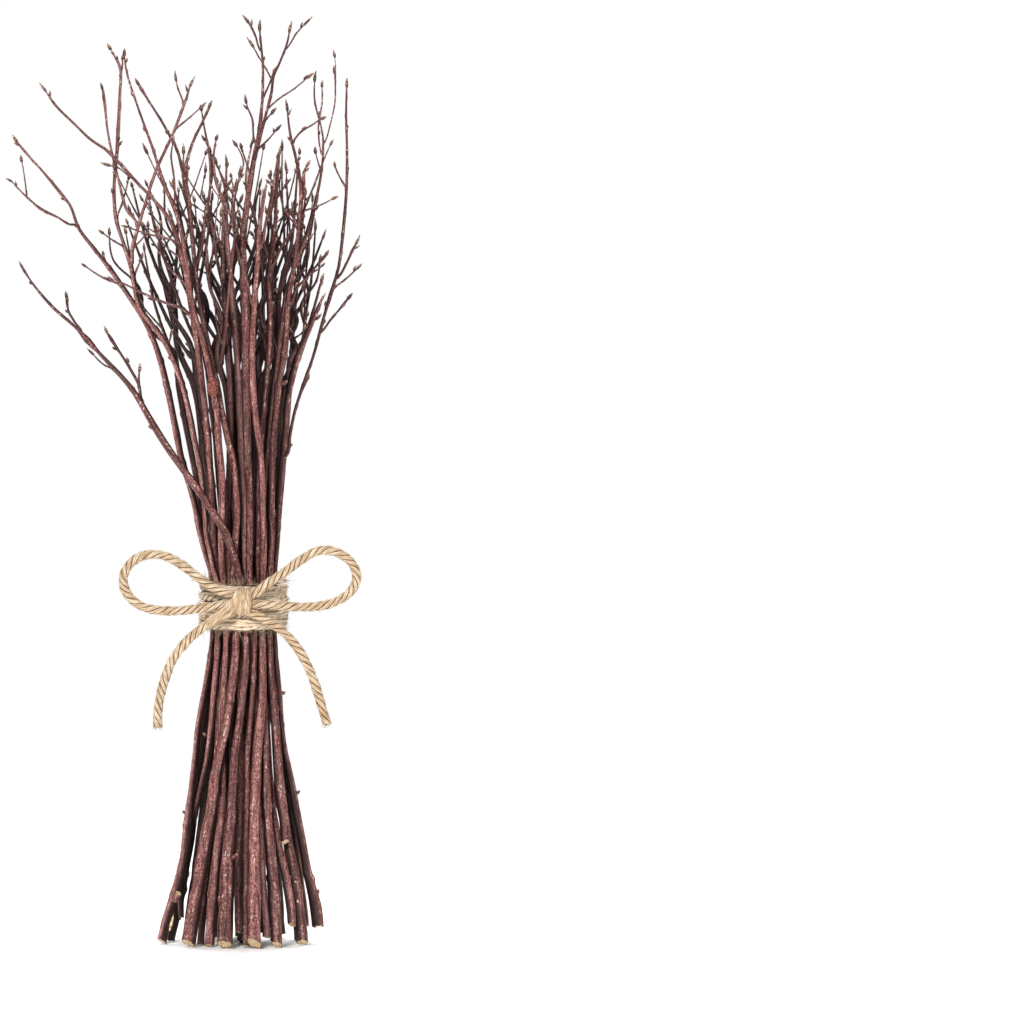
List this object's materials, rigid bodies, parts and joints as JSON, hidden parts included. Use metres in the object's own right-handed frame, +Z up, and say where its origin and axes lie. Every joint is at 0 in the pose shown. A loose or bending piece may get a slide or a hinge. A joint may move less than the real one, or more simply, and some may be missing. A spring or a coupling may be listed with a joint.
{
  "type": "bundle of twigs",
  "caption": "Upright bundle of reddish-brown birch-like twigs with budded, branching tips, tied at the waist with jute twine in a bow.",
  "frame": {"origin": "centre of the middle twig's flat cut foot, on the plane that the bundle stands on", "axes": "+Z up along the stems, +X to the viewer's right, the bow faces -Y"},
  "size_m": [0.1646, 0.142, 0.4293],
  "materials": {
    "bark": "satin",
    "jute": "matte"
  },
  "bodies": {
    "root": {"twig_01": "bark", "twig_02": "bark", "twig_03": "bark", "twig_04": "bark", "twig_05": "bark", "twig_06": "bark", "twig_07": "bark", "twig_08": "bark", "twig_09": "bark", "twig_10": "bark", "twig_11": "bark", "twig_12": "bark", "twig_13": "bark", "twig_14": "bark", "twig_15": "bark", "twig_16": "bark", "twig_17": "bark", "twig_18": "bark", "twig_19": "bark", "twig_20": "bark", "twig_21": "bark", "twig_22": "bark", "twig_23": "bark", "twig_24": "bark", "twig_25": "bark", "twig_26": "bark", "twig_27": "bark", "twig_28": "bark", "twig_29": "bark", "twig_30": "bark", "twig_31": "bark", "twig_32": "bark", "twig_33": "bark", "twig_34": "bark", "twig_35": "bark", "twig_36": "bark", "twine_wraps": "jute", "bow_knot": "jute", "bow_loop_left": "jute", "bow_loop_right": "jute", "twine_tail_left": "jute", "twine_tail_right": "jute"}
  },
  "joints": []
}
